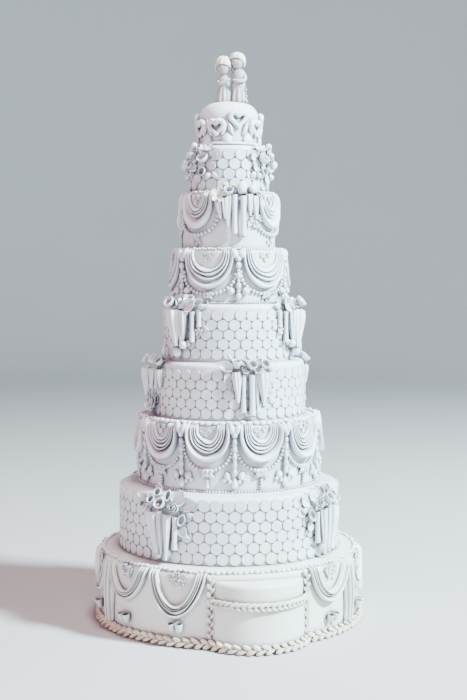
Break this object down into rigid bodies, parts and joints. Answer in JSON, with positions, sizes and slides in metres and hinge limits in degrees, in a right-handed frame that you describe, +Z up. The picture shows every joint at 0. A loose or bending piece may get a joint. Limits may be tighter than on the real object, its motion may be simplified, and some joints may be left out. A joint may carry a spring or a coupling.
{
  "type": "wedding cake",
  "caption": "Tall round wedding cake in white icing, its tiers dressed with flat discs, draped swags and fluted bouquets, with a bow-fronted cutting cake and a couple on top.",
  "frame": {"origin": "middle of the flat underside of the lowest tier", "axes": "+Z up through the tiers, -Y towards the front with the cutting cake, +X to the right seen from the front"},
  "size_m": [0.6186, 0.6551, 1.2705],
  "materials": {
    "tier_icing": "smooth rolled sugar icing, satin",
    "swag_icing": "draped rolled icing, satin",
    "bouquet_icing": "hand-shaped sugar paste, satin with a little pearl",
    "border_icing": "piped icing, soft satin",
    "figure_icing": "moulded sugar paste, satin"
  },
  "bodies": {
    "root": {"base_border": "border_icing", "cutting_cake_lower": "tier_icing", "cutting_cake_rope": "border_icing", "cutting_cake_seam_left": "border_icing", "cutting_cake_seam_right": "border_icing", "cutting_cake_upper": "tier_icing", "figure_left": "figure_icing", "figure_right": "figure_icing", "tier_1": "tier_icing", "tier_1_swag_01": "swag_icing", "tier_1_swag_02": "swag_icing", "tier_1_swag_03": "swag_icing", "tier_1_swag_04": "swag_icing", "tier_1_swag_05": "swag_icing", "tier_1_swag_06": "swag_icing", "tier_1_swag_07": "swag_icing", "tier_1_swag_08": "swag_icing", "tier_1_swag_09": "swag_icing", "tier_1_swag_10": "swag_icing", "tier_1_swag_11": "swag_icing", "tier_1_swag_12": "swag_icing", "tier_2": "tier_icing", "tier_2_bouquet_1": "bouquet_icing", "tier_2_bouquet_2": "bouquet_icing", "tier_2_bouquet_3": "bouquet_icing", "tier_2_bouquet_4": "bouquet_icing", "tier_3": "tier_icing", "tier_3_swags": "swag_icing", "tier_4": "tier_icing", "tier_4_bouquet_1": "bouquet_icing", "tier_4_bouquet_2": "bouquet_icing", "tier_4_bouquet_3": "bouquet_icing", "tier_4_bouquet_4": "bouquet_icing", "tier_5": "tier_icing", "tier_5_bouquet_1": "bouquet_icing", "tier_5_bouquet_2": "bouquet_icing", "tier_5_bouquet_3": "bouquet_icing", "tier_5_bouquet_4": "bouquet_icing", "tier_6": "tier_icing", "tier_6_swag_01": "swag_icing", "tier_6_swag_02": "swag_icing", "tier_6_swag_03": "swag_icing", "tier_6_swag_04": "swag_icing", "tier_6_swag_05": "swag_icing", "tier_6_swag_06": "swag_icing", "tier_7": "tier_icing", "tier_7_bouquet_1": "bouquet_icing", "tier_7_bouquet_2": "bouquet_icing", "tier_7_swag_01": "swag_icing", "tier_7_swag_02": "swag_icing", "tier_7_swag_03": "swag_icing", "tier_7_swag_04": "swag_icing", "tier_8": "tier_icing", "tier_8_bouquet_1": "bouquet_icing", "tier_8_bouquet_2": "bouquet_icing", "tier_8_bouquet_3": "bouquet_icing", "tier_8_bouquet_4": "bouquet_icing", "tier_9": "tier_icing", "tier_9_scrolls": "swag_icing"}
  },
  "joints": []
}
